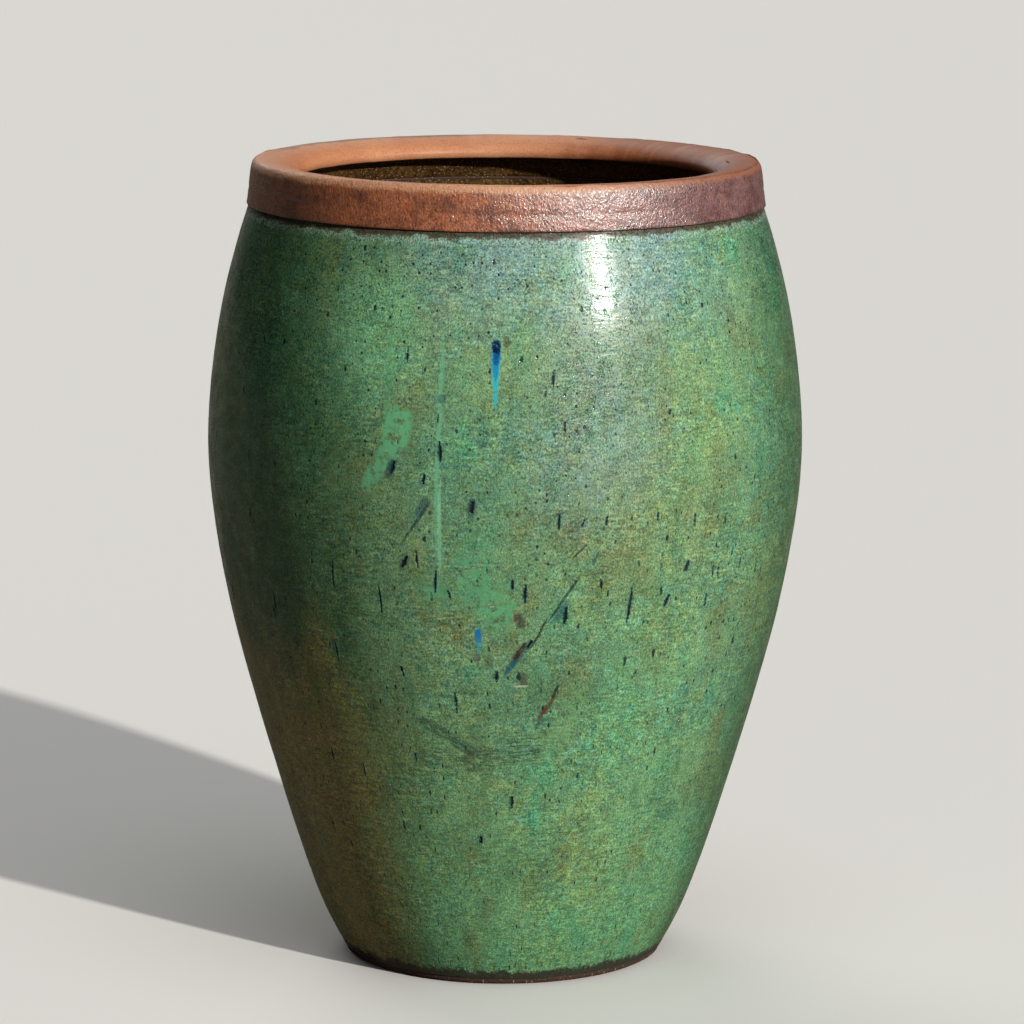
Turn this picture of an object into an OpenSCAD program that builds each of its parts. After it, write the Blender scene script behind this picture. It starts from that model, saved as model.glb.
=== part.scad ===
// Tall barrel-shaped stoneware jar planter, hand built in stages: a floor slab with a drain hole,
// a coil pressed into its inside corner, three stages of wall luted together on sloping seams, and
// a thick rolled rim. A jade glaze covers the outside, a brown glaze the rim's outer face, and a
// dark wash the inside. +Z is up, and the origin is the middle of the foot, on the ground.

/* [Jar] */
// Height of the jar over its rim
jar_h = 915; // [760:5:1000]
// Radius of the belly at its widest, over the glaze
belly_r = 339; // [300:1:380]

/* [Clay] */
// Thickness of the wall, glaze and wash included
wall_t = 20; // [16:0.5:26]
// Height of the floor's top face over the ground
floor_h = 30; // [24:1:40]
// How far the corner coil reaches along the floor and up the wall
corner_w = 26; // [16:1:40]
// Slope of a seam between two wall stages, from the wall's inside up to its outside
seam_rise = 10; // [4:1:16]

/* [Rim] */
// How far the rim stands proud of the wall below it
rim_proud = 3; // [1:0.5:8]
// Width of the rolled rim, from its outer face to its inner face
rim_w = 58; // [48:1:66]
// Height of the rolled rim
rim_h = 49; // [40:1:60]
// How far the rim's face leans in on its way up
rim_lean = 4; // [0:0.5:10]
// How far the lip inside the rim overhangs the neck below it
lip_reach = 20; // [10:1:26]

/* [Coats] */
// Thickness of the jade glaze on the outside
glaze_t = 1.2; // [0.8:0.1:2]
// Thickness of the brown glaze on the rim and of the wash inside
wash_t = 1; // [0.8:0.1:1.5]
// Height of the clay left bare at the foot, under the jade glaze
bare_foot = 7; // [4:1:14]

/* [Foot] */
// Radius of the drain hole
drain_r = 19; // [12:0.5:26]
// Width of the ring that the jar stands on
foot_w = 36; // [24:1:50]
// Depth of the hollow under the floor, inside that ring
hollow_h = 4; // [2:0.5:6]

/* [Hidden] */
$fn = 180;

wall_colour = "sandybrown";
floor_colour = "peru";
rim_colour = "sienna";
jade_colour = "seagreen";
brown_colour = "saddlebrown";

// The barrel's outline: each station's share of the jar's height and of the belly's radius.
barrel = [[0, 0.535], [0.055, 0.611], [0.11, 0.668], [0.165, 0.717], [0.22, 0.762],
          [0.33, 0.849], [0.44, 0.926], [0.55, 0.980], [0.645, 1], [0.74, 0.984],
          [0.83, 0.945], [0.90, 0.897], [0.946, 0.858]];
outline_step = 15;

seat_z = jar_h - rim_h;
lower_seam_z = 0.33 * jar_h;
upper_seam_z = 0.60 * jar_h;
foot_round = 6;
wash_gap = 14; // bare clay left round the drain hole
wash_drop = 2; // and under the rim, down to the wash's top edge
curve_steps = 10;

// Slope of the barrel at a station, from its neighbours on each side.
function station_slope(i) =
    let (a = barrel[max(i - 1, 0)], b = barrel[min(i + 1, len(barrel) - 1)])
    (b[1] - a[1]) / (b[0] - a[0]);

// Cubic between stations i and i + 1, at height share s.
function barrel_share(s, i = 0) =
    i < len(barrel) - 2 && s > barrel[i + 1][0] ? barrel_share(s, i + 1) :
    let (a = barrel[i], b = barrel[i + 1], w = b[0] - a[0], u = (s - a[0]) / w)
    (2*u*u*u - 3*u*u + 1) * a[1] + (u*u*u - 2*u*u + u) * w * station_slope(i)
    + (3*u*u - 2*u*u*u) * b[1] + (u*u*u - u*u) * w * station_slope(i + 1);

// The outline as straight stretches, which every wall and coat shares, so that they meet exactly.
outline_count = ceil(seat_z / outline_step);
outline = [for (i = [0:outline_count]) let (z = seat_z * i / outline_count)
           [z, belly_r * barrel_share(z / jar_h)]];

function outer_r(z) = lookup(z, outline);
function clay_r(z) = outer_r(z) - glaze_t;
function inner_r(z) = outer_r(z) - wall_t;
function wall_inner_r(z) = inner_r(z) + wash_t;

// The outline's own heights that lie between two others, with both ends.
function heights(low, high) =
    concat([low], [for (p = outline) if (p[0] > low + 0.01 && p[0] < high - 0.01) p[0]], [high]);

function flipped(list) = [for (i = [len(list) - 1:-1:0]) list[i]];

// A bend from a to c that leaves a towards b and reaches c from b, without its first point.
function bend(a, b, c) =
    [for (i = [1:curve_steps]) let (u = i / curve_steps)
     (1 - u) * (1 - u) * a + 2 * u * (1 - u) * b + u * u * c];

foot_r = clay_r(foot_round);
rim_r = outer_r(seat_z) + rim_proud;

// One stage of wall. Its lower and upper edges slope up from the inside to the outside.
module wall_stage(low, high, low_rise, high_rise) {
    outside = [for (z = heights(low + low_rise / 2, high + high_rise / 2)) [clay_r(z), z]];
    inside = [for (z = heights(low - low_rise / 2, high - high_rise / 2)) [wall_inner_r(z), z]];
    rotate_extrude()
        polygon(concat(outside, flipped(inside)));
}

module floor_slab() {
    hollow_r = foot_r - foot_w;
    edge = [for (z = heights(foot_round, floor_h)) [clay_r(z), z]];
    color(floor_colour)
        rotate_extrude()
            polygon(concat([[drain_r, hollow_h], [hollow_r - hollow_h, hollow_h], [hollow_r, 0],
                            [foot_r - foot_round, 0]],
                           bend([foot_r - foot_round, 0], [foot_r, 0], edge[0]),
                           [for (i = [1:len(edge) - 1]) edge[i]],
                           [[drain_r, floor_h]]));
}

// The corner coil's free face, from the floor up to the wall.
corner_top = floor_h + corner_w;
corner_face = concat([[wall_inner_r(floor_h) - corner_w, floor_h]],
                     bend([wall_inner_r(floor_h) - corner_w, floor_h],
                          [wall_inner_r(floor_h), floor_h],
                          [wall_inner_r(corner_top), corner_top]));

module corner_coil() {
    back = [for (z = heights(floor_h, corner_top)) [wall_inner_r(z), z]];
    color(floor_colour)
        rotate_extrude()
            polygon(concat([for (i = [0:len(corner_face) - 2]) corner_face[i]], flipped(back)));
}

module lower_wall() {
    color(wall_colour) wall_stage(floor_h, lower_seam_z, 0, seam_rise);
}

module middle_wall() {
    color(wall_colour) wall_stage(lower_seam_z, upper_seam_z, seam_rise, seam_rise);
}

module upper_wall() {
    color(wall_colour) wall_stage(upper_seam_z, seat_z, seam_rise, 0);
}

// The rim's outer corner, as seen in section, from the top of its leaning face up to its crest.
rim_face_r = rim_r - wash_t;
rim_shoulder = [rim_face_r - rim_lean, seat_z + 0.7 * rim_h];
rim_crest = [rim_r - 0.22 * rim_w, jar_h];
rim_corner = concat([rim_shoulder],
                    bend(rim_shoulder, [rim_face_r - rim_lean / 0.7, jar_h], rim_crest));
rim_glaze_steps = floor(0.7 * curve_steps);

// Past its crest the rim rolls down inwards to a lip. The neck under the lip opens out to the wall.
module rim_roll() {
    rim_in_r = rim_r - rim_w;
    lip_z = seat_z + 0.51 * rim_h;
    lip_round = 0.11 * rim_h;
    inner_face = [rim_in_r, seat_z + 0.68 * rim_h];
    lip_face = [rim_in_r, lip_z + lip_round];
    lip_under = [rim_in_r + lip_round, lip_z];
    neck = [rim_in_r + lip_reach, lip_z];
    color(rim_colour)
        rotate_extrude()
            polygon(concat([[rim_face_r, seat_z]], rim_corner,
                           bend(rim_crest, [rim_in_r + 0.15 * rim_w, jar_h], inner_face),
                           [lip_face], bend(lip_face, [rim_in_r, lip_z], lip_under),
                           [neck - [lip_round, 0]],
                           bend(neck - [lip_round, 0], neck, neck + lip_round * [0.6, -0.8]),
                           [[wall_inner_r(seat_z), seat_z]]));
}

// The brown glaze on the rim's face thins out and stops most of the way round its corner.
module rim_glaze() {
    turn = 90 / curve_steps;
    back = [for (i = [0:rim_glaze_steps]) rim_corner[i]];
    face = [for (i = [0:rim_glaze_steps]) back[i] + wash_t * [cos(i * turn), sin(i * turn)]];
    color(brown_colour)
        rotate_extrude()
            polygon(concat([[rim_face_r, seat_z], [rim_r, seat_z]], face, flipped(back)));
}

module jade_glaze() {
    levels = heights(bare_foot, seat_z);
    color(jade_colour)
        rotate_extrude()
            polygon(concat([for (z = levels) [outer_r(z), z]],
                           flipped([for (z = levels) [clay_r(z), z]])));
}

// The wash covers the floor from near the drain hole, the corner coil and the wall up to the rim.
module inner_wash() {
    turn = 90 / curve_steps;
    levels = heights(corner_top, seat_z - wash_drop);
    back = concat([[drain_r + wash_gap, floor_h]], corner_face,
                  [for (i = [1:len(levels) - 1]) [wall_inner_r(levels[i]), levels[i]]]);
    corner = [for (i = [0:curve_steps])
              corner_face[i] + wash_t * [-sin(i * turn), cos(i * turn)]];
    face = concat([[drain_r + wash_gap, floor_h + wash_t]], corner,
                  [for (i = [1:len(levels) - 1]) [inner_r(levels[i]), levels[i]]]);
    color(brown_colour)
        rotate_extrude()
            polygon(concat(back, flipped(face)));
}

floor_slab();
corner_coil();
lower_wall();
middle_wall();
upper_wall();
rim_roll();
jade_glaze();
rim_glaze();
inner_wash();
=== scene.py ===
import math
import random

import bmesh
import bpy
from mathutils import Euler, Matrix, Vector
from mathutils.kdtree import KDTree


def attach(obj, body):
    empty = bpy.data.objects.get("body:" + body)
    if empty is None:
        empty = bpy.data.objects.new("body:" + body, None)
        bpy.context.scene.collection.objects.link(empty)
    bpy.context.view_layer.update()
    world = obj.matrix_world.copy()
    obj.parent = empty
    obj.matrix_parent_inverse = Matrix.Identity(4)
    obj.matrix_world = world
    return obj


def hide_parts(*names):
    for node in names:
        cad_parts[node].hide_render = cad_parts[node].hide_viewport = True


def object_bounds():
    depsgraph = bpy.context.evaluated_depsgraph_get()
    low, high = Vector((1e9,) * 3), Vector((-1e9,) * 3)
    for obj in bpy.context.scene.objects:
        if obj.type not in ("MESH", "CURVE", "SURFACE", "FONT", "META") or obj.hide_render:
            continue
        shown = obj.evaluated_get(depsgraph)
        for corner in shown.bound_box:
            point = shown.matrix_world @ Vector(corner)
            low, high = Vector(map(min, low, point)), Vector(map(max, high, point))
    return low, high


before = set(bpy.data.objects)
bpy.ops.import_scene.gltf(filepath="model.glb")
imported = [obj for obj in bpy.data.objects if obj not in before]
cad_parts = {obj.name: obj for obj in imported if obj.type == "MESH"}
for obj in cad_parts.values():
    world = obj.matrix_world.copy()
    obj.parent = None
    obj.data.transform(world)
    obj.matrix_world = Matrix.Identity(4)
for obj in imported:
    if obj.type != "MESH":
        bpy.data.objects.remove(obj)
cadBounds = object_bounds()
print("jar: CAD frame loaded")

nominal = 0.3   # radius in metres that patterns round the jar are laid out on
mm = 0.001
hair = 0.0001   # a step too small to matter, in metres


def placed(name, data):
    # a new object that is in the scene
    made = bpy.data.objects.new(name, data)
    bpy.context.scene.collection.objects.link(made)
    return made


# small helpers for node trees

bench = {}   # holds the node tree being built


def opened(tree):
    # from here on every new node goes into this tree
    bench["tree"] = tree
    return tree


def put(kind, inputs=None, **settings):
    # a new node; an input is either a number or another node's output
    tree = bench["tree"]
    node = tree.nodes.new(kind)
    for name, value in settings.items():
        setattr(node, name, value)
    for key, value in (inputs or {}).items():
        if isinstance(value, bpy.types.NodeSocket):
            tree.links.new(value, node.inputs[key])
        else:
            node.inputs[key].default_value = value
    return node


def maths(operation, *values):
    return put("ShaderNodeMath", dict(enumerate(values)), operation=operation).outputs[0]


def times(first, second):
    return maths("MULTIPLY", first, second)


def timesPlus(first, second, added):
    return maths("MULTIPLY_ADD", first, second, added)


def plus(first, second):
    return maths("ADD", first, second)


def minus(first, second):
    return maths("SUBTRACT", first, second)


def larger(first, second):
    return maths("MAXIMUM", first, second)


def sizeOf(value):
    return maths("ABSOLUTE", value)


def vectorMaths(operation, *values, result="Vector"):
    node = put("ShaderNodeVectorMath", dict(enumerate(values)), operation=operation)
    return node.outputs[result]


def parted(vector):
    return put("ShaderNodeSeparateXYZ", {0: vector}).outputs


def upward(height):
    return put("ShaderNodeCombineXYZ", {"Z": height}).outputs[0]


def scaled(vector, amount):
    node = put("ShaderNodeVectorMath", {"Vector": vector, "Scale": amount}, operation="SCALE")
    return node.outputs["Vector"]


def noiseAt(vector, size, detail=2.0, roughness=0.5, seed=0.0, stretch=None):
    # noise whose blotches are about this many metres across
    if stretch:
        vector = vectorMaths("MULTIPLY", vector, stretch)
    scale = maths("DIVIDE", 1.0, size) if isinstance(size, bpy.types.NodeSocket) else 1 / size
    inputs = {"Vector": vector, "W": seed, "Scale": scale, "Detail": detail, "Roughness": roughness}
    node = put("ShaderNodeTexNoise", inputs, noise_dimensions="4D")
    return node.outputs[0]


def ramp(value, low, high, first=0.0, last=1.0):
    inputs = {"Value": value, "From Min": low, "From Max": high, "To Min": first, "To Max": last}
    # a smooth step never leaves its two ends, so it needs no clamp
    node = put("ShaderNodeMapRange", inputs, interpolation_type="SMOOTHSTEP", clamp=False)
    return node.outputs[0]


def blend(share, first, second, kind="MIX"):
    node = put("ShaderNodeMix", {0: share, 6: first, 7: second}, data_type="RGBA", blend_type=kind)
    return node.outputs[2]


def bands(value, stops):
    # a colour ramp through these (place, colour) stops
    node = put("ShaderNodeValToRGB", {0: value})
    elements = node.color_ramp.elements
    while len(elements) < len(stops):
        elements.new(0.5)
    for element, (place, colour) in zip(elements, stops):
        element.position = place
        element.color = colour
    return node.outputs[0]


def tint(red, green, blue):
    # a colour as read off a screen, turned into the linear one that a shader takes
    return tuple((c / 3294.6 if c < 10.3 else ((c / 255 + 0.055) / 1.055) ** 2.4)
                 for c in (red, green, blue)) + (1.0,)


def stained(colour, share, amount, *screen):
    # a colour with a screen colour laid over it
    return blend(times(share, amount), colour, tint(*screen))


def graded(colour, share, value, low, dark, high, pale):
    # a colour multiplied by one tone where the value is low and by another where it is high
    stops = [(low, (*dark, 1)), (0.5, (1, 1, 1, 1)), (high, (*pale, 1))]
    return blend(share, colour, bands(value, stops), "MULTIPLY")


def piled(relief, *layers):
    # adds each (value, height in mm) to a relief
    for value, height in layers:
        relief = timesPlus(value, height, relief)
    return relief


def jittered(value, *noises):
    # pushes a value up and down by each (noise, amount)
    for noise, amount in noises:
        value = timesPlus(minus(noise, 0.5), amount, value)
    return value


# sections read from the CAD frame

def cadSection(node, reach=1e-5):
    # the (radius, height) points round a ring's section, counterclockwise
    mesh = bmesh.new()
    mesh.from_mesh(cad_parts[node].data)
    bmesh.ops.remove_doubles(mesh, verts=mesh.verts, dist=reach)
    near = {v: [] for v in mesh.verts if abs(v.co.y) < reach and v.co.x > 0}
    for edge in mesh.edges:
        a, b = edge.verts
        if a in near and b in near:
            near[a].append(b)
            near[b].append(a)
    here = min(near, key=lambda v: (v.co.z, v.co.x))
    before, loop = None, []
    while True:
        loop.append(Vector((here.co.x, here.co.z)))
        onward = [v for v in near[here] if v is not before]
        before, here = here, onward[0]
        if (here.co.x - loop[0].x) ** 2 + (here.co.z - loop[0].y) ** 2 < reach ** 2:
            break
    mesh.free()
    turned = sum(a.x * b.y - b.x * a.y for a, b in zip(loop, loop[1:] + loop[:1]))
    return loop if turned > 0 else loop[::-1]


def runsBetweenCorners(loop, turn=math.radians(30)):
    count = len(loop)
    corners = []
    for i in range(count):
        if (loop[i] - loop[i - 1]).angle(loop[(i + 1) % count] - loop[i]) > turn:
            corners.append(i)
    ends = corners[1:] + [corners[0] + count]
    return [[loop[k % count] for k in range(start, end + 1)] for start, end in zip(corners, ends)]


def smoothPoint(run, marks, distance):
    # the point this far along a smooth curve through a run's own points
    last = len(run) - 1
    i = 0
    while i < last - 1 and marks[i + 1] < distance:
        i += 1

    def slope(k):
        a, b = max(k - 1, 0), min(k + 1, last)
        return (run[b] - run[a]) / (marks[b] - marks[a])
    width = marks[i + 1] - marks[i]
    u = (distance - marks[i]) / width
    return ((2 * u ** 3 - 3 * u ** 2 + 1) * run[i] + (u ** 3 - 2 * u ** 2 + u) * width * slope(i)
            + (3 * u ** 2 - 2 * u ** 3) * run[i + 1] + (u ** 3 - u ** 2) * width * slope(i + 1))


def fineSection(node, values):
    # a smooth, round-cornered section: a list of (point, relief share)
    side = {"out": 1, "in": -1, "all": 0}[values["shown"]]
    parts = []
    for run in runsBetweenCorners(cadSection(node)):
        marks = [0.0]
        for a, b in zip(run, run[1:]):
            marks.append(marks[-1] + (b - a).length)
        total = marks[-1]
        across = (run[-1] - run[0]).normalized()
        facing = across.y * side > 0.2 or side == 0 or (side < 0 and across.x < -0.5)
        spacing = values["fine"] if facing else values["coarse"]
        trim = min(values["edgeRound"], 0.45 * total)
        steps = max(1, round((total - 2 * trim) / spacing))
        points = []
        for k in range(steps + 1):
            s = trim + (total - 2 * trim) * k / steps
            share = min(1.0, min(s, total - s) / values["fade"]) if facing else 0.0
            points.append((smoothPoint(run, marks, s), share))
        parts.append((points, run[-1]))
    section = []
    for index, (points, corner) in enumerate(parts):
        section += points
        start, end = points[-1][0], parts[(index + 1) % len(parts)][0][0][0]
        for k in (0.25, 0.5, 0.75):
            section.append(((1 - k) ** 2 * start + 2 * k * (1 - k) * corner + k * k * end, 0.0))
    return section


def radiusAt(loop, height, side=1):
    # the outermost (or, with side -1, innermost) radius of a section at a height
    found = []
    for a, b in zip(loop, loop[1:] + loop[:1]):
        if min(a.y, b.y) <= height <= max(a.y, b.y) and a.y != b.y:
            found.append(a.x + (b.x - a.x) * (height - a.y) / (b.y - a.y))
    return max(found) if side > 0 else min(found)


def fillColumn(mesh, title, kind, domain, values):
    made = mesh.attributes.new(title, kind, domain)
    made.data.foreach_set("vector" if kind == "FLOAT_VECTOR" else "value", values)


def sectionMesh(name, node, values):
    section = fineSection(node, values)
    count = len(section)
    mesh = bpy.data.meshes.new(name)
    mesh.from_pydata([(p.x, 0, p.y) for p, share in section], [(i, (i + 1) % count) for i in range(count)],
                     [])
    low = min(p.y for p, share in section)
    high = max(p.y for p, share in section)
    loop = [p for p, share in section]
    away, stray, groove = [], [], []
    for i, (point, share) in enumerate(section):
        along = (section[(i + 1) % count][0] - section[i - 1][0]).normalized()
        away.append((along.y, 0, -along.x))
        pull = Vector((0, 0))
        for end, sign in values.get("stray", {}).items():
            inward = 1 if end == "low" else -1
            edge = low if end == "low" else high
            inside = edge + inward * values["strayReach"]
            slope = radiusAt(loop, edge + inward * hair) - radiusAt(loop, inside)
            heading = Vector((slope, edge - inside)).normalized()
            near = 1 - min(1.0, abs(point.y - edge) / values["strayReach"])
            pull += heading * near * near * (3 - 2 * near) * sign
        stray.append((pull.x, 0, pull.y))
        crease = values.get("crease")
        groove.append(share * math.exp(-((point.y - high + crease[0]) / crease[1]) ** 2)
                      if crease and along.y > 0.6 else 0.0)
    vectors = {"spot": [(p.x, 0, p.y) for p, share in section], "away": away, "stray": stray}
    for title, column in vectors.items():
        fillColumn(mesh, title, "FLOAT_VECTOR", "POINT", [c for item in column for c in item])
    fillColumn(mesh, "relief", "FLOAT", "POINT", [share for p, share in section])
    fillColumn(mesh, "groove", "FLOAT", "POINT", groove)
    return mesh


# geometry node trees

def newTree(name, inputs):
    tree = opened(bpy.data.node_groups.new(name, "GeometryNodeTree"))
    tree.is_modifier = True
    tree.interface.new_socket("Geometry", in_out="INPUT", socket_type="NodeSocketGeometry")
    for title, (kind, value) in inputs.items():
        socket = tree.interface.new_socket(title, in_out="INPUT", socket_type="NodeSocket" + kind)
        if value is not None:
            socket.default_value = value
    tree.interface.new_socket("Geometry", in_out="OUTPUT", socket_type="NodeSocketGeometry")
    return tree


def runTree(piece, tree, values):
    # puts a tree on a piece with these inputs, and keeps the plain mesh that comes out
    modifier = piece.modifiers.new(tree.name, "NODES")
    modifier.node_group = tree
    for socket in tree.interface.items_tree:
        if socket.in_out == "INPUT" and socket.name in values:
            modifier[socket.identifier] = values[socket.name]
    bpy.context.view_layer.update()
    graph = bpy.context.evaluated_depsgraph_get()
    shape = bpy.data.meshes.new_from_object(piece.evaluated_get(graph), preserve_all_data_layers=True,
                                            depsgraph=graph)
    piece.modifiers.clear()
    old, piece.data = piece.data, shape
    bpy.data.meshes.remove(old)
    shape.name = piece.name


def named(title, kind="FLOAT"):
    return put("GeometryNodeInputNamedAttribute", {"Name": title}, data_type=kind).outputs["Attribute"]


def stored(geometry, title, value, kind="FLOAT"):
    inputs = {"Geometry": geometry, "Name": title, "Value": value}
    node = put("GeometryNodeStoreNamedAttribute", inputs, data_type=kind, domain="POINT")
    return node.outputs["Geometry"]


def sweepTree():
    # sweeps a closed section round the jar's axis
    tree = newTree("sweep_round", {"Around": ("Int", 180)})
    given = put("NodeGroupInput")
    section = put("GeometryNodeMeshToCurve", {"Mesh": given.outputs["Geometry"]})
    path = put("GeometryNodeCurvePrimitiveCircle", {"Resolution": given.outputs["Around"], "Radius": 1.0})
    place = put("GeometryNodeInputPosition").outputs[0]
    path = stored(path.outputs["Curve"], "way", place, "FLOAT_VECTOR")
    swept = put("GeometryNodeCurveToMesh", {"Curve": path, "Profile Curve": section.outputs[0]})
    spot = parted(named("spot", "FLOAT_VECTOR"))
    out = scaled(named("way", "FLOAT_VECTOR"), spot["X"])
    up = upward(spot["Z"])
    final = vectorMaths("ADD", out, up)
    moved = put("GeometryNodeSetPosition", {"Geometry": swept.outputs[0], "Position": final})
    put("NodeGroupOutput", {"Geometry": moved.outputs[0]})
    return tree


def shapeTree():
    # gives a swept ring its hand-made shape: wobble, lumps, throwing rings, a crease, slits, a ragged edge
    inputs = {"Wobble": ("Float", 0.002), "Wobble Size": ("Float", 0.35), "Lumps": ("Float", 0.0004),
              "Lump Size": ("Float", 0.04), "Rings": ("Float", 0.0003), "Ring Spacing": ("Float", 0.012),
              "Crease": ("Float", 0.0), "Stray": ("Float", 0.0), "Stray Size": ("Float", 0.03),
              "Stray Inward": ("Float", 0.5), "Slits": ("Object", None), "Slit Depth": ("Float", 0.0009),
              "Slit Lip": ("Float", 0.0002), "Seed": ("Float", 1.0), "Finish": ("Material", None)}
    tree = newTree("hand_shape", inputs)
    given = put("NodeGroupInput").outputs
    way = vectorMaths("NORMALIZE", named("way", "FLOAT_VECTOR"))
    spot = parted(named("spot", "FLOAT_VECTOR"))
    away = parted(named("away", "FLOAT_VECTOR"))
    stray = parted(named("stray", "FLOAT_VECTOR"))
    relief = named("relief")
    up = upward(spot["Z"])
    onJar = vectorMaths("ADD", scaled(way, nominal), up)

    def swing(size, height, shift, detail=2.0, stretch=None, middle=0.5):
        seed = plus(given["Seed"], shift)
        value = noiseAt(onJar, size, detail, seed=seed, stretch=stretch)
        return times(minus(value, middle), times(height, 2.0))

    wobble = swing(given["Wobble Size"], given["Wobble"], 0.0)
    lumps = swing(given["Lump Size"], given["Lumps"], 3.7, 3.0)
    rings = swing(given["Ring Spacing"], given["Rings"], 7.1, 1.0, (0.05, 0.05, 1.0))
    creaseShare = ramp(swing(0.25, 0.5, 11.3), -0.16, 0.12)
    crease = times(times(named("groove"), given["Crease"]), creaseShare)

    # a slit is a groove with a low lip round it
    lines = put("GeometryNodeObjectInfo", {"Object": given["Slits"]}).outputs["Geometry"]
    proximity = put("GeometryNodeProximity", {0: lines}, target_element="EDGES").outputs
    nearest = put("GeometryNodeSampleNearest", {"Geometry": lines}, domain="EDGE").outputs[0]
    width = put("GeometryNodeSampleIndex", {"Geometry": lines, "Index": nearest, "Value": named("width")},
                data_type="FLOAT", domain="EDGE").outputs[0]
    reach = maths("DIVIDE", proximity["Distance"], larger(width, 1e-5))
    without = larger(maths("LESS_THAN", width, 1e-5), maths("LESS_THAN", relief, 0.01))
    reach = maths("MINIMUM", timesPlus(without, 9.0, reach), 9.0)
    slit = ramp(reach, 1.2, 0.3)
    lip = minus(ramp(reach, 2.6, 1.3), slit)
    lip = times(larger(lip, 0.0), relief)
    cut = minus(times(lip, given["Slit Lip"]), times(slit, given["Slit Depth"]))

    surface = plus(times(plus(lumps, rings), relief), cut)
    surface = minus(surface, crease)
    strayed = swing(given["Stray Size"], given["Stray"], 5.9, 4.0, (1.0, 1.0, 0.3), given["Stray Inward"])
    radius = plus(plus(spot["X"], wobble), times(away["X"], surface))
    radius = plus(radius, times(stray["X"], strayed))
    height = plus(spot["Z"], times(away["Z"], surface))
    height = plus(height, times(stray["Z"], strayed))
    height = larger(height, 0.0)   # nothing goes under the ground
    up = upward(height)
    final = vectorMaths("ADD", scaled(way, radius), up)
    moved = put("GeometryNodeSetPosition", {"Geometry": given["Geometry"], "Position": final}).outputs[0]
    marked = stored(moved, "slit", reach)   # how many half widths away the nearest slit is
    smooth = put("GeometryNodeSetShadeSmooth", {0: marked}).outputs[0]
    whole = put("GeometryNodeRealizeInstances", {0: smooth}).outputs[0]
    painted = put("GeometryNodeSetMaterial", {"Geometry": whole, "Material": given["Finish"]}).outputs[0]
    put("NodeGroupOutput", {"Geometry": painted})
    return tree


sweep = sweepTree()
shape = shapeTree()
print("jar: trees built")


# slits in a coat

def slitLines(name, slits, spotAt, chance):
    # a mesh of short bent lines, one for each slit, which the shape tree cuts grooves along
    points, edges, widths = [], [], []
    for turn, height, tilt, length, width in slits:
        steps = max(2, round(length / (4 * mm)))
        lean = math.radians(tilt)
        bow = chance.uniform(-0.04, 0.04) * length
        first = len(points)
        for k in range(steps + 1):
            s = k / steps - 0.5
            side = s * length * math.sin(lean) + bow * (1 - 4 * s * s)
            z = height + s * length * math.cos(lean)
            points.append(spotAt(turn, side, z))
            if k:
                edges.append((first + k - 1, first + k))
                taper = 1 - 0.6 * abs(2 * (k - 0.5) / steps - 1) ** 2
                widths.append(width / 2 * taper)
    mesh = bpy.data.meshes.new(name)
    mesh.from_pydata(points, edges, [])
    fillColumn(mesh, "width", "FLOAT", "EDGE", widths)
    return placed(name, mesh)


def refineNear(mesh, lines, passes):
    # cuts the faces under the lines finer, so that a slit can be a real groove
    work = bmesh.new()
    work.from_mesh(mesh)
    bmesh.ops.recalc_face_normals(work, faces=work.faces)
    for reach, cuts in passes:
        work.faces.ensure_lookup_table()
        work.faces.index_update()
        tree = KDTree(len(work.faces))
        for face in work.faces:
            tree.insert(face.calc_center_median(), face.index)
        tree.balance()
        picked = set()
        for edge in lines.data.edges:
            a, b = (lines.data.vertices[i].co for i in edge.vertices)
            _, nearest, _ = tree.find((a + b) / 2)
            outward = work.faces[nearest].normal
            for place in (a, (a + b) / 2, b):
                for _, index, _ in tree.find_range(place, reach):
                    if work.faces[index].normal.dot(outward) > 0.3:
                        picked.add(index)
        edges = {edge for index in picked for edge in work.faces[index].edges}
        bmesh.ops.subdivide_edges(work, edges=list(edges), cuts=cuts, use_grid_fill=True)
        print("jar: refined", len(picked), "faces")
    work.to_mesh(mesh)
    work.free()


def tidyMesh(mesh):
    work = bmesh.new()
    work.from_mesh(mesh)
    bmesh.ops.recalc_face_normals(work, faces=work.faces)
    work.to_mesh(mesh)
    work.free()
    for title in ("spot", "away", "stray", "relief", "groove", "way"):
        if title in mesh.attributes:
            mesh.attributes.remove(mesh.attributes[title])


def makeRing(name, node, finish, values, lines=None):
    # one ring-shaped piece, from its CAD section to its finished mesh
    piece = placed(name, sectionMesh(name, node, values))
    runTree(piece, sweep, {"Around": values["around"]})
    if lines:
        refineNear(piece.data, lines, values["refine"])
    inputs = dict(values["shape"], Finish=finish)
    if lines:
        inputs["Slits"] = lines
    runTree(piece, shape, inputs)
    tidyMesh(piece.data)
    if lines:
        bpy.data.objects.remove(lines)
    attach(piece, "root")
    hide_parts(node)
    triangles = sum(len(face.vertices) - 2 for face in piece.data.polygons)
    print("jar:", name, triangles, "triangles")


# what every finish shares

def newFinish(name):
    finish = bpy.data.materials.new(name)
    finish.use_nodes = True
    tree = opened(finish.node_tree)
    tree.nodes.clear()
    shader = put("ShaderNodeBsdfPrincipled")
    put("ShaderNodeOutputMaterial", {"Surface": shader.outputs[0]})
    return finish, shader


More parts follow.
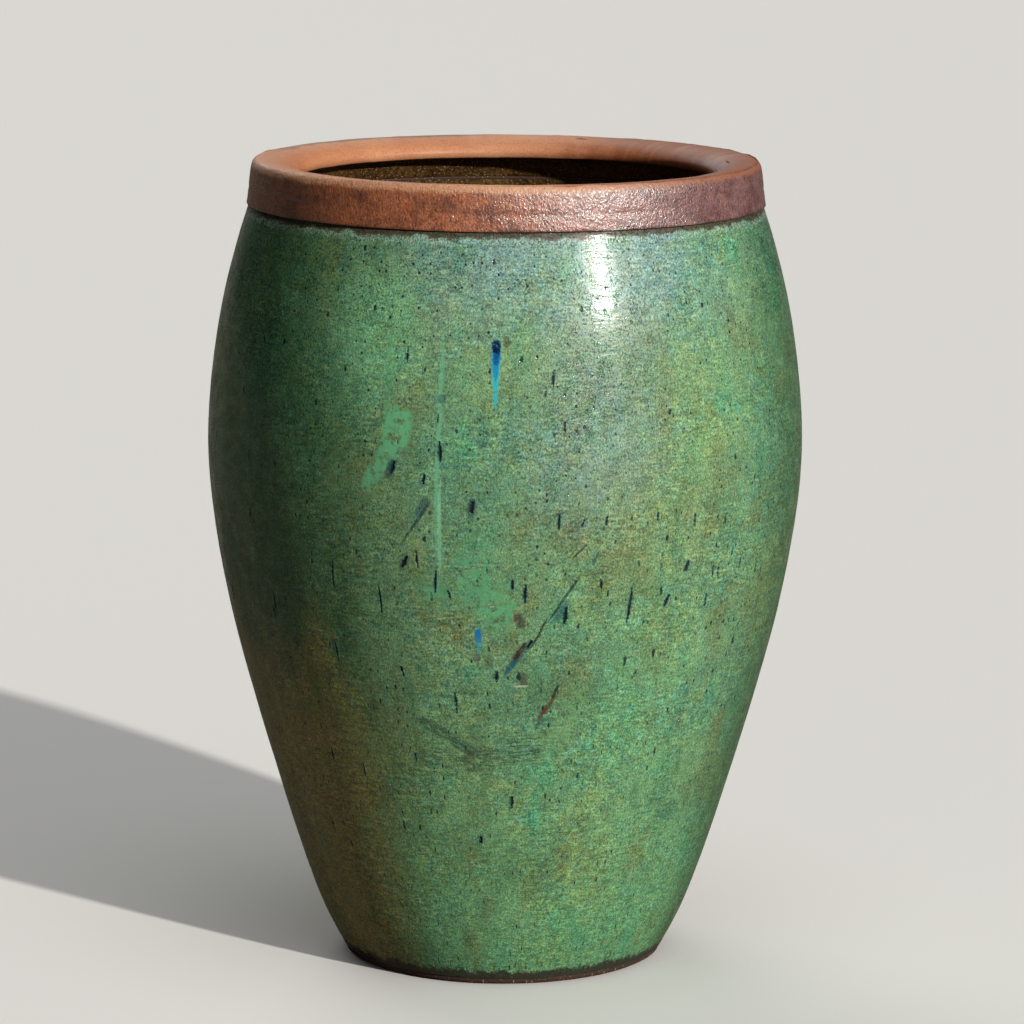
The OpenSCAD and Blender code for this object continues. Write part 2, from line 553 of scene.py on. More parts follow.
def roundTree():
    # the turn in degrees from the front, the height, and a place laid out on a plain cylinder
    tree = opened(bpy.data.node_groups.new("round_jar", "ShaderNodeTree"))
    for title, kind in (("Turn", "Float"), ("Height", "Float"), ("Out", "Float"), ("Laid", "Vector"),
                        ("Flat", "Vector"), ("Place", "Vector")):
        tree.interface.new_socket(title, in_out="OUTPUT", socket_type="NodeSocket" + kind)
    place = put("ShaderNodeTexCoord").outputs["Object"]
    parts = parted(place)
    flat = put("ShaderNodeCombineXYZ", {"X": parts["X"], "Y": parts["Y"]}).outputs[0]
    flat = vectorMaths("NORMALIZE", flat)
    up = upward(parts["Z"])
    laid = vectorMaths("ADD", scaled(flat, nominal), up)
    turn = maths("ARCTAN2", parts["X"], times(parts["Y"], -1.0))
    level = put("ShaderNodeCombineXYZ", {"X": parts["X"], "Y": parts["Y"]}).outputs[0]
    out = vectorMaths("LENGTH", level, result="Value")
    unrolled = put("ShaderNodeCombineXYZ",
                   {"X": times(turn, nominal), "Y": minus(parts["Z"], out)}).outputs[0]
    put("NodeGroupOutput", {"Turn": maths("DEGREES", turn), "Height": parts["Z"], "Out": out, "Laid": laid,
                            "Flat": unrolled, "Place": place})
    return tree


def markTree():
    # 1 inside a mark that is laid on the jar at a turn and a height, and 0 outside it
    tree = opened(bpy.data.node_groups.new("mark", "ShaderNodeTree"))
    for title in ("Turn", "Height", "Tilt", "Length", "Width", "Soft", "Taper", "Stray"):
        tree.interface.new_socket(title, in_out="INPUT", socket_type="NodeSocketFloat")
    tree.interface.new_socket("Share", in_out="OUTPUT", socket_type="NodeSocketFloat")
    given = put("NodeGroupInput").outputs
    place = put("ShaderNodeTexCoord").outputs["Object"]
    back = maths("RADIANS", times(given["Turn"], -1.0))
    facing = put("ShaderNodeVectorRotate", {"Vector": place, "Angle": back}, rotation_type="Z_AXIS")
    parts = parted(facing.outputs[0])
    x = plus(parts["X"], given["Stray"])
    z = minus(parts["Z"], given["Height"])
    lean = maths("RADIANS", given["Tilt"])
    sine, cosine = maths("SINE", lean), maths("COSINE", lean)
    along = plus(times(x, sine), times(z, cosine))
    across = minus(times(x, cosine), times(z, sine))
    v = maths("DIVIDE", times(along, 2.0), given["Length"])
    half = timesPlus(times(given["Taper"], v), given["Width"], given["Width"])
    u = maths("DIVIDE", times(across, 2.0), larger(half, 1e-5))
    rim = plus(maths("POWER", sizeOf(v), 4.0), times(u, u))
    low = minus(1.0, given["Soft"])
    high = plus(1.0, given["Soft"])
    share = minus(1.0, ramp(rim, low, high))
    share = times(share, maths("LESS_THAN", parts["Y"], 0.0))
    put("NodeGroupOutput", {"Share": share})
    return tree


roundGroup = roundTree()
markGroup = markTree()


def aroundJar():
    return put("ShaderNodeGroup", node_tree=roundGroup).outputs


def mark(stray, turn, height, tilt, length, width, soft=0.4, taper=0.0):
    values = {"Turn": turn, "Height": height * mm, "Tilt": tilt, "Length": length * mm, "Width": width * mm,
              "Soft": soft, "Taper": taper, "Stray": stray}
    return put("ShaderNodeGroup", values, node_tree=markGroup).outputs["Share"]


def cloudAt(place, turn, height, tall, wide):
    # 1 in the middle of a soft round patch on the jar's belly, and 0 beyond it, with its sizes in mm
    angle = math.radians(turn)
    middle = (0.325 * math.sin(angle), -0.325 * math.cos(angle), height * mm)
    stretch = (2 / (wide * mm), 2 / (wide * mm), 2 / (tall * mm))
    shift = tuple(-a * b for a, b in zip(middle, stretch))
    moved = vectorMaths("MULTIPLY_ADD", place, stretch, shift)
    reach = vectorMaths("LENGTH", moved, result="Value")
    return ramp(reach, 1.15, 0.2)


def dots(place, size, dotSize, share, shift=0.0, tall=1.0):
    # small dots of about this radius, one at most in each cell, in this share of the cells
    moved = vectorMaths("MULTIPLY_ADD", place, (1.0, 1.0 / tall, 1.0), (shift, shift, shift))
    cells = put("ShaderNodeTexVoronoi", {"Vector": moved, "Scale": 1 / size, "Randomness": 1.0},
                voronoi_dimensions="2D").outputs
    pick = put("ShaderNodeSeparateColor", {0: cells["Color"]}).outputs
    kept = maths("LESS_THAN", pick[0], share)
    reach = times(timesPlus(pick[1], 0.9, 0.45), dotSize / size)
    inside = ramp(maths("DIVIDE", cells["Distance"], reach), 1.1, 0.6)
    return times(inside, kept)


def ragged(vector, size, amount, shift=0.0):
    # the same place pushed about by noise, so that what is laid out on it gets ragged edges
    inputs = {"Vector": vector, "W": shift, "Scale": 1 / size, "Detail": 2.0}
    noise = put("ShaderNodeTexNoise", inputs, noise_dimensions="4D").outputs["Color"]
    push = scaled(vectorMaths("SUBTRACT", noise, (0.5, 0.5, 0.5)), 2 * amount)
    return vectorMaths("ADD", vector, push)


def dressed(shader, colour, shine, relief):
    # wires a finish up, with its relief in mm
    bump = put("ShaderNodeBump", {"Strength": 1.0, "Distance": mm, "Height": relief})
    links = bench["tree"].links
    links.new(colour, shader.inputs["Base Color"])
    links.new(bump.outputs[0], shader.inputs["Normal"])
    if shine is not None:
        links.new(shine, shader.inputs["Roughness"])


# the slow wander of the wall, the same for every piece so that they go on meeting
hand = {"Wobble": 1.6 * mm, "Wobble Size": 0.38, "Seed": 4.0}


# jade glaze

jade = {
    "shown": "out", "fine": 6.2 * mm, "coarse": 30 * mm, "around": 300, "edgeRound": 0.55 * mm,
    "fade": 9 * mm, "stray": {"low": 1, "high": 1}, "strayReach": 30 * mm,
    "refine": [(8 * mm, 1), (3.4 * mm, 3)],
    "shape": {**hand, "Lumps": 0.35 * mm, "Lump Size": 0.045, "Rings": 0.22 * mm,
              "Ring Spacing": 0.016, "Stray": 2.6 * mm, "Stray Size": 0.045, "Stray Inward": 0.62,
              "Slit Depth": 0.9 * mm, "Slit Lip": 0.25 * mm},
    "seed": 12, "strayPits": 70}

# slits that burst in the glaze: turn from the front, height, tilt, length and width, in degrees and mm
jadeSlits = [
    (-19, 735, 0, 16, 1.8), (9, 712, 6, 18, 1.8), (7.5, 698, 4, 8, 1.4), (11, 661, 0, 10, 1.7),
    (-12, 634, -4, 20, 2.6), (-12.5, 669, 4, 9, 1.5), (-21, 614, 15, 12, 3.0), (-15, 603, 10, 8, 3.0),
    (-19, 510, 25, 11, 4.0), (-16.5, 514, -4, 18, 1.8), (-13, 490, 4, 24, 1.8), (-10.5, 476, -20, 7, 2.0),
    (-6, 574, 10, 10, 3.6), (1.5, 488, 0, 9, 2.4), (4, 478, 2, 19, 2.3), (10, 558, 2, 15, 2.0),
    (14.5, 556, 20, 7, 1.6), (19, 557, 4, 8, 1.5), (24, 560, 0, 6, 1.4), (29.5, 558, 0, 7, 1.6),
    (38, 549, 0, 12, 1.7), (46, 543, 10, 15, 2.0), (18.5, 485, -6, 12, 2.0), (20, 475, 0, 6, 1.5),
    (24.8, 462, 4, 44, 2.2), (33, 461, 22, 12, 2.4), (31, 499, -6, 8, 1.5), (35, 506, -4, 7, 1.3),
    (26, 507, -15, 5, 1.4), (37, 498, 20, 8, 3.0), (44, 487, -2, 12, 1.5), (45.5, 486, -4, 15, 1.7),
    (49, 506, 0, 7, 1.3), (52, 491, 4, 14, 1.4), (58, 480, 0, 30, 1.5), (60.5, 474, -4, 13, 1.4),
    (43, 458, 4, 7, 1.7), (11.8, 452, 4, 17, 3.4), (-34.5, 488, 4, 30, 1.8), (-24.5, 466, -3, 31, 2.0),
    (-36, 400, -5, 22, 1.8), (-21, 384, -12, 9, 2.0), (-10, 350, -2, 22, 2.0), (-1.5, 382, 4, 11, 2.6),
    (2, 232, 0, 12, 2.4), (-20, 282, -4, 8, 1.4), (-34, 259, 0, 14, 1.4), (-5.5, 185, 0, 5, 3.0),
    (27.5, 378, 25, 9, 1.6), (-52, 440, 0, 26, 1.6), (22, 250, 0, 6, 1.4), (5, 420, 30, 8, 2.4)]

# strokes and patches in the glaze: turn, height, tilt, length, width, softness, taper, strength, colour
jadeStrokes = [
    (-12.3, 640, 1, 236, 5.0, 0.9, 0.1, 0.75, (112, 184, 142)),     # pale ghost run
    (-12.0, 548, 1, 96, 4, 0.8, 0.0, 0.80, (140, 204, 160)),
    (-22.4, 700, 0, 120, 10, 0.9, 0.2, 0.45, (92, 168, 122)),
    (-20.3, 655, 6, 50, 32, 0.5, 0.1, 0.95, (104, 180, 130)),       # mint patch and its tail
    (-23.5, 616, 32, 72, 20, 0.8, 0.2, 0.85, (98, 176, 130)),
    (-6.0, 500, 8, 110, 64, 0.9, 0.0, 0.72, (92, 172, 122)),        # mint clouds in the middle
    (-1.0, 462, 15, 74, 56, 0.9, 0.0, 0.85, (98, 178, 126)),
    (-13.5, 478, 0, 56, 50, 0.9, 0.0, 0.75, (92, 166, 120)),
    (6.0, 372, 35, 80, 40, 0.9, 0.0, 0.65, (98, 172, 116)),
    (13.0, 325, 20, 90, 24, 0.9, 0.0, 0.40, (122, 172, 108)),
    (14.0, 588, 0, 50, 60, 1.0, 0.0, 0.30, (112, 152, 128)),
    (-1.8, 717, 0, 74, 8.0, 0.6, 0.50, 1.00, (40, 178, 190)),       # cobalt run
    (-1.8, 731, 0, 42, 8.0, 0.7, 0.40, 1.00, (0, 132, 186)),
    (-1.8, 739, 0, 27, 8.0, 0.7, 0.30, 0.95, (0, 76, 132)),
    (-1.8, 746, 0, 16, 8.5, 0.5, 0.1, 0.97, (2, 14, 44)),
    (-5.0, 429, 0, 17, 7, 0.7, 0.0, 1.00, (0, 118, 184)),            # cobalt spot
    (-5.0, 414, 0, 22, 4, 0.9, 0.3, 0.6, (50, 160, 176)),
    (11.5, 472, 33, 60, 3.2, 0.8, 0.2, 0.9, (16, 40, 56)),          # long scratches
    (11.0, 458, 33, 30, 6.0, 0.9, 0.0, 0.7, (34, 78, 96)),
    (19.5, 540, 30, 62, 2.6, 0.9, 0.0, 0.55, (146, 186, 130)),
    (6.8, 432, 27, 42, 2.6, 0.8, -0.2, 0.9, (14, 30, 42)),
    (2.5, 404, 32, 42, 8.0, 0.9, 0.2, 0.8, (28, 66, 84)),
    (1.2, 392, 32, 26, 5.0, 0.9, 0.3, 0.8, (30, 92, 106)),
    (3.2, 412, 30, 24, 5.0, 0.6, 0.0, 0.9, (70, 24, 28)),
    (3.2, 447, -14, 18, 9, 0.8, 0.0, 0.8, (48, 32, 42)),
    (2.2, 450, 0, 9, 4, 0.8, 0.0, 0.8, (110, 46, 36)),
    (9.0, 345, 32, 36, 4.6, 0.7, -0.1, 0.9, (98, 34, 26)),          # red-brown scratch
    (10.6, 364, 22, 16, 3.6, 0.7, 0.0, 0.9, (12, 20, 32)),
    (7.4, 326, 35, 16, 4.0, 0.9, 0.0, 0.6, (34, 84, 96)),
    (4.0, 379, -8, 17, 8, 0.6, -0.3, 0.7, (78, 66, 62)),
    (3.4, 371, 88, 17, 2.2, 0.9, 0.0, 0.7, (198, 212, 186)),
    (14.0, 524, 47, 22, 2.4, 0.8, 0.0, 0.85, (14, 36, 46)),
    (17.2, 516, 24, 18, 3.0, 0.8, -0.2, 0.85, (20, 62, 82)),
    (-16.8, 552, 35, 62, 3.0, 0.9, 0.6, 0.8, (18, 44, 62)),
    (-15.2, 572, 30, 24, 11, 0.9, 0.0, 0.65, (22, 56, 74)),
    (-21.5, 612, 20, 22, 8, 0.8, 0.0, 0.7, (18, 46, 62)),
    (-6.0, 572, 5, 22, 9, 0.8, 0.0, 0.6, (58, 60, 70)),
    (54.8, 414, 34, 26, 2.2, 0.8, 0.0, 0.6, (44, 78, 48)),
    (-11.8, 690, 20, 10, 8, 0.8, 0.0, 0.7, (16, 66, 86)),
    (-11.8, 690, 20, 5, 4, 0.8, 0.0, 0.6, (92, 150, 124)),
    (0.2, 752, 10, 12, 8, 0.8, 0.0, 0.6, (48, 40, 38)),
    (-2.8, 400, 0, 14, 9, 0.7, 0.0, 0.5, (70, 62, 46)),
    (-5.2, 404, 0, 10, 5, 0.7, 0.0, 0.6, (110, 56, 38))]


def jadeFinish():
    finish, shader = newFinish("jade_glaze")
    jar = aroundJar()
    place, laid, flat, turn, height = jar["Place"], jar["Laid"], jar["Flat"], jar["Turn"], jar["Height"]
    broad = noiseAt(laid, 0.20, 3.0, seed=1.0)
    flow = noiseAt(laid, 0.022, 4.0, 0.6, 2.0, (1.0, 1.0, 0.16))
    patches = noiseAt(laid, 0.060, 4.0, 0.6, 3.0, (1.0, 1.0, 0.6))
    cloud = noiseAt(laid, 0.018, 4.0, 0.65, 4.0)
    fine = noiseAt(place, 0.0030, 3.0, 0.7, 5.0)
    grain = noiseAt(place, 0.0016, 2.0, 0.7, 6.0, (1.0, 1.0, 0.7))
    weave = noiseAt(laid, 0.0019, 2.0, 0.6, 8.0, (0.18, 0.18, 1.0))

    colour = bands(broad,
                   [(0.32, tint(90, 140, 110)), (0.48, tint(106, 148, 110)), (0.66, tint(122, 154, 108))])
    colour = stained(colour, ramp(height, 0.42, 0.02), 0.55, 108, 168, 114)
    colour = stained(colour, ramp(patches, 0.50, 0.64), 0.6, 112, 122, 78)
    colour = stained(colour, ramp(patches, 0.45, 0.32), 0.65, 82, 158, 116)
    big = noiseAt(laid, 0.11, 4.0, 0.62, 14.0, (1.0, 1.0, 0.7))
    colour = stained(colour, ramp(big, 0.53, 0.66), 0.5, 130, 160, 102)
    colour = stained(colour, ramp(big, 0.47, 0.34), 0.5, 78, 118, 82)
    colour = stained(colour, ramp(flow, 0.52, 0.72), 0.35, 138, 178, 126)
    colour = stained(colour, ramp(flow, 0.46, 0.28), 0.40, 66, 112, 76)

    # deep green painted shade down both sides of the front, olive brown at the lower left that is a painted
    # reflection of the ground, and blue-grey under the rim that is a painted sky reflection
    # the deep green down both sides is painted shade
    shifted = plus(turn, ramp(height, 0.62, 0.78, -5.0, 5.0))
    paintedShade = larger(ramp(shifted, -18.0, -44.0), ramp(turn, 50.0, 74.0))
    paintedShade = times(paintedShade, ramp(sizeOf(turn), 124.0, 84.0, 0.2, 1.0))
    paintedShade = times(paintedShade, ramp(cloud, 0.25, 0.6, 0.45, 0.8))
    colour = blend(paintedShade, colour, tint(50, 92, 56))
    # olive brown at the lower left is a painted reflection of the ground
    leftShare = times(ramp(turn, -18.0, -48.0), ramp(turn, -130.0, -84.0, 0.15, 1.0))
    paintedGroundReflection = times(times(leftShare, ramp(timesPlus(patches, 0.5, height), 0.72, 0.52)),
                    ramp(cloud, 0.2, 0.7, 0.6, 0.95))
    colour = blend(paintedGroundReflection, colour, tint(160, 146, 86))
    # blue-grey under the rim, towards the front and right, is a painted sky reflection
    paintedSkyReflection = times(ramp(height, 0.70, 0.84), ramp(patches, 0.3, 0.6, 0.25, 0.85))
    frontal = times(ramp(turn, -34.0, 2.0), ramp(turn, 60.0, 26.0, 0.15, 1.0))
    colour = stained(colour, paintedSkyReflection, frontal, 128, 162, 156)
    upperLeft = times(cloudAt(place, -25, 760, 200, 135), ramp(cloud, 0.3, 0.6, 0.6, 0.95))
    colour = blend(upperLeft, colour, tint(122, 178, 128))
    lowRight = times(cloudAt(place, 30, 330, 340, 170), ramp(patches, 0.35, 0.6, 0.8, 0.3))
    colour = blend(lowRight, colour, tint(116, 172, 120))
    # a grey patch right of the middle is the painted haze of the highlight
    paintedHaze = times(cloudAt(place, 16, 640, 270, 210), ramp(cloud, 0.3, 0.6, 0.3, 0.7))
    colour = blend(paintedHaze, colour, tint(122, 146, 132))

    # small patches where the glaze broke cool or warm, dark or pale
    uneven = ramp(noiseAt(laid, 0.07, 3.0, 0.6, 17.0), 0.38, 0.62, 0.45, 1.0)

    def broke(colour, vector, size, seed, share, low, high, spread, stretch=None):
        value = noiseAt(vector, size, 3.0, 0.62, seed, stretch)
        return graded(colour, share, value, 0.5 - spread, low, 0.5 + spread, high)
    colour = broke(colour, laid, 0.0110, 15.0, uneven, (0.82, 1.00, 1.18), (1.15, 1.00, 0.84), 0.14)
    colour = broke(colour, laid, 0.0160, 16.0, 1.0, (0.84, 0.87, 0.88), (1.15, 1.12, 1.08), 0.16,
                   (1.0, 1.0, 0.6))
    colour = broke(colour, laid, 0.0055, 18.0, uneven, (0.76, 0.79, 0.80), (1.22, 1.20, 1.17), 0.15,
                   (0.7, 0.7, 1.0))

    # grain: light and dark threads at the scale of a millimetre or two
    colour = broke(colour, place, 0.0030, 5.0, uneven, (0.58, 0.58, 0.58), (1.45, 1.45, 1.45), 0.18)
    colour = broke(colour, place, 0.0016, 6.0, 1.0, (0.42, 0.42, 0.42), (1.58, 1.58, 1.58), 0.17,
                   (1.0, 1.0, 0.7))
    colour = broke(colour, laid, 0.0022, 8.0, uneven, (0.66, 0.66, 0.66), (1.30, 1.30, 1.30), 0.18,
                   (0.14, 0.14, 1.0))

    # specks of dark metal, thicker under the rim and to the right of the middle
    rough = ragged(flat, 0.0022, 0.0007)
    crowd = ramp(noiseAt(laid, 0.05, 4.0, 0.65, 7.0), 0.42, 0.60, 0.25, 1.0)
    top = larger(ramp(height, 0.70, 0.84, 0.45, 1.0), cloudAt(place, 16, 650, 290, 220))
    crowd = times(crowd, top)
    small = times(dots(rough, 0.0034, 0.0007, 0.6, 0.11, 1.3), crowd)
    specks = times(dots(rough, 0.0095, 0.0012, 0.5, 0.37, 1.6), ramp(crowd, 0.1, 0.5, 0.5, 1.0))
    rougher = ragged(flat, 0.0045, 0.0022, 3.0)
    rare = dots(rougher, 0.030, 0.0017, 0.30, 0.53, 2.2)
    pale = dots(rough, 0.0046, 0.0006, 0.35, 0.71)
    rust = dots(rougher, 0.036, 0.0014, 0.40, 0.91)
    # fine dark hairs where the glaze crawled
    crawl = sizeOf(minus(noiseAt(laid, 0.0062, 3.0, 0.6, 19.0), 0.5))
    crawl = times(ramp(crawl, 0.022, 0.006), ramp(crowd, 0.3, 0.8, 0.15, 0.75))
    colour = blend(crawl, colour, tint(34, 62, 58))
    colour = stained(colour, pale, 0.55, 176, 202, 172)
    colour = stained(colour, small, 0.85, 26, 52, 56)
    colour = stained(colour, specks, 0.92, 14, 26, 36)
    colour = stained(colour, rust, 0.6, 142, 108, 80)
    colour = stained(colour, rare, 0.9, 12, 34, 46)

    # strokes laid on one by one
    wander = times(minus(cloud, 0.5), 0.005)
    wander = plus(wander, times(minus(fine, 0.5), 0.004))
    broken = ramp(noiseAt(place, 0.009, 4.0, 0.7, 10.0), 0.40, 0.54)
    speckled = ramp(fine, 0.30, 0.56, 0.35, 1.0)
    for turnAt, heightAt, tilt, length, width, soft, taper, strength, rgb in jadeStrokes:
        if width > 33:
            share = cloudAt(place, turnAt, heightAt, length, width)
        else:
            share = mark(wander, turnAt, heightAt, tilt, length, width, soft, taper)
        share = times(share, strength)
        share = times(share, broken if width > 12 else speckled)
        colour = blend(share, colour, tint(*rgb))

    # dark brushed patches, with the brush's fine lines
    leaned = put("ShaderNodeVectorRotate", {"Vector": place, "Angle": math.radians(-29)},
                 rotation_type="Y_AXIS")
    brush = noiseAt(leaned.outputs[0], 0.0017, 3.0, 0.7, 9.0, (0.14, 0.14, 1.0))
    level = noiseAt(laid, 0.0017, 3.0, 0.7, 8.0, (0.14, 0.14, 1.0))
    far = times(wander, 3.0)
    crescent = larger(mark(far, -14.5, 317, -61, 50, 13, 0.6), mark(far, -9.0, 300, -52, 36, 15, 0.6))
    swept = times(ramp(brush, 0.60, 0.48), crescent)
    flatMarks = larger(mark(far, 4.5, 296, 90, 42, 34, 0.9), mark(far, -4.5, 291, 90, 40, 13, 0.6))
    hatched = times(mark(far, -8.0, 281, 90, 116, 28, 0.9), 0.8)
    flatMarks = larger(flatMarks, hatched)
    flatMarks = times(ramp(level, 0.54, 0.44), flatMarks)
    brushed = times(larger(swept, flatMarks), speckled)
    colour = stained(colour, brushed, 0.75, 26, 60, 60)
    lines = times(ramp(level, 0.48, 0.38), ramp(height, 0.22, 0.16))
    colour = stained(colour, lines, 0.4, 62, 90, 56)

    # slits show the dark body, with blue at their lips
    reach = put("ShaderNodeAttribute", attribute_name="slit").outputs["Fac"]
    reach = plus(reach, times(minus(fine, 0.5), 2.2))
    reach = plus(reach, times(minus(grain, 0.5), 1.6))
    slit = ramp(reach, 1.30, 0.85)
    blueLip = times(ramp(reach, 3.0, 1.2), ramp(cloud, 0.38, 0.60, 0.15, 0.9))
    colour = blend(blueLip, colour, tint(20, 78, 88))
    colour = blend(slit, colour, tint(6, 8, 15))

    # the coat breaks to brown at both of its edges; the dark collar at its top is also painted shade under
    # the rim
    edgeHeight = jittered(height, (cloud, 0.022), (fine, 0.010))
    foot = ramp(edgeHeight, 0.021, 0.015)
    colour = stained(colour, foot, 0.9, 52, 40, 40)
    collar = ramp(edgeHeight, 0.857, 0.861)
    pale = times(ramp(edgeHeight, 0.851, 0.855), ramp(grain, 0.45, 0.6))
    colour = stained(colour, pale, 0.6, 176, 196, 186)
    colour = blend(times(collar, 0.9), colour,
                   bands(fine,
                         [(0.40, tint(34, 28, 24)), (0.52, tint(66, 56, 36)), (0.68, tint(104, 60, 44))]))

    # smooth glass with a dull skin over part of it, so highlights have a bright core and a wide haze
    dull = ramp(plus(grain, times(cloud, 0.5)), 0.64, 0.86)
    shine = timesPlus(dull, 0.42, 0.055)
    shine = timesPlus(slit, 0.4, shine)
    shader.inputs["IOR"].default_value = 1.46
    peel = noiseAt(place, 0.008, 2.0, 0.5, 9.0)
    ridges = noiseAt(laid, 0.008, 2.0, 0.5, 12.0, (0.30, 0.30, 1.0))
    chatter = noiseAt(laid, 0.0034, 2.0, 0.5, 13.0, (0.35, 0.35, 1.0))
    relief = piled(times(fine, 0.035), (grain, 0.015), (peel, 0.12), (ridges, 0.40), (weave, 0.025),
                   (chatter, 0.22), (specks, -0.20), (small, -0.08), (rare, -0.4), (slit, -0.6))
    dressed(shader, colour, shine, relief)
    return finish


def makeJade():
    chance = random.Random(jade["seed"])
    coat = cadSection("jade_glaze")

    def onCoat(turn, side, z):
        r = radiusAt(coat, z)
        angle = math.radians(turn) + side / r
        return (r * math.sin(angle), -r * math.cos(angle), z)
    slits = [(turn, z * mm, tilt, length * mm, width * 1.2 * mm) for turn, z, tilt, length,
             width in jadeSlits]
    for i in range(jade["strayPits"]):
        turn = chance.uniform(70, 318)    # all round the sides and the back
        z = min(0.82, max(0.06, chance.gauss(0.50, 0.16)))
        length = chance.choice((4, 6, 8, 12, 18, 26)) * mm
        slits.append((turn, z, chance.gauss(0, 5), length, chance.uniform(1.3, 2.6) * mm))
    lines = slitLines("jade_slits", slits, onCoat, chance)
    makeRing("jade_coat", "jade_glaze", jadeFinish(), jade, lines)


# the wash's colour, which the rim's neck shares

def washColour(jar):
    cloud = noiseAt(jar["Laid"], 0.05, 4.0, 0.65, 1.0)
    grit = noiseAt(jar["Place"], 0.0030, 3.0, 0.7, 2.0)
    drag = noiseAt(jar["Laid"], 0.010, 3.0, 0.6, 3.0, (0.2, 0.2, 1.0))
    colour = bands(cloud, [(0.3, tint(62, 42, 24)), (0.5, tint(86, 62, 32)), (0.7, tint(106, 82, 44))])
    colour = stained(colour, ramp(drag, 0.5, 0.7), 0.4, 46, 26, 16)
    colour = graded(colour, 1.0, grit, 0.36, (0.22, 0.20, 0.18), 0.64, (2.0, 1.8, 1.5))
    grains = dots(jar["Flat"], 0.006, 0.0010, 0.5, 0.2)
    return stained(colour, grains, 0.7, 190, 160, 124)


# rolled rim, and the brown glaze on its face

rim = {
    "shown": "all", "fine": 2.8 * mm, "coarse": 8 * mm, "around": 300, "edgeRound": 2.0 * mm, "fade": 6 * mm,
    "refine": [(4 * mm, 3)],
    "shape": {**hand, "Lumps": 0.9 * mm, "Lump Size": 0.05, "Rings": 0.25 * mm,
              "Ring Spacing": 0.008, "Slit Depth": 1.6 * mm, "Slit Lip": 0.3 * mm},
    "seed": 5, "dents": 26}
rimCoat = {
    "shown": "out", "fine": 2.4 * mm, "coarse": 8 * mm, "around": 300, "edgeRound": 0.45 * mm,
    "fade": 2 * mm, "stray": {"high": 1}, "strayReach": 9 * mm, "crease": (0.030, 0.0016),
    "shape": {**hand, "Lumps": 0.9 * mm, "Lump Size": 0.05, "Rings": 0.25 * mm,
              "Ring Spacing": 0.008, "Crease": 0.9 * mm, "Stray": 4 * mm, "Stray Size": 0.06,
              "Stray Inward": 0.5}}


def rimBrown(jar, cloud):
    # the brown glaze's colour, from orange brown at the left to purple brown at the right; the purple at the
    # right is partly a painted sheen and the darker left is painted shade
    laid, place, turn = jar["Laid"], jar["Place"], jar["Turn"]
    streak = noiseAt(laid, 0.0026, 3.0, 0.6, 2.0, (1.0, 1.0, 0.45))
    fine = noiseAt(place, 0.0018, 3.0, 0.7, 4.0)
    patch = noiseAt(laid, 0.012, 3.0, 0.65, 6.0)
    # the purple brown at the right is partly the glaze's own colour and partly a painted sheen
    side = ramp(plus(turn, times(cloud, 40.0)), 5.0, 62.0)
    colour = blend(side, tint(170, 98, 62), tint(128, 92, 92))
    back = ramp(sizeOf(turn), 100.0, 160.0)
    colour = stained(colour, back, 0.7, 126, 68, 42)
    # darker towards the left: painted shade
    dark = ramp(turn, -24.0, -52.0)
    dark = times(dark, ramp(turn, -150.0, -110.0))
    colour = stained(colour, dark, 0.5, 98, 56, 32)
    colour = stained(colour, ramp(streak, 0.50, 0.72), 0.35, 172, 108, 70)
    colour = stained(colour, ramp(streak, 0.48, 0.34), 0.55, 70, 34, 26)
    colour = graded(colour, 1.0, patch, 0.36, (0.76, 0.70, 0.70), 0.64, (1.20, 1.08, 0.98))
    colour = stained(colour, ramp(cloud, 0.48, 0.62), 0.55, 88, 44, 32)
    return graded(colour, 1.0, fine, 0.34, (0.52, 0.54, 0.58), 0.66, (1.34, 1.42, 1.50))


def rimRelief(jar):
    # an orange peel of short upright wrinkles
    peel = noiseAt(jar["Place"], 0.0025, 3.0, 0.6, 3.0, (1.0, 1.0, 0.75))
    broad = noiseAt(jar["Place"], 0.011, 2.0, 0.5, 5.0)
    return timesPlus(peel, 1.15, times(broad, 0.9))


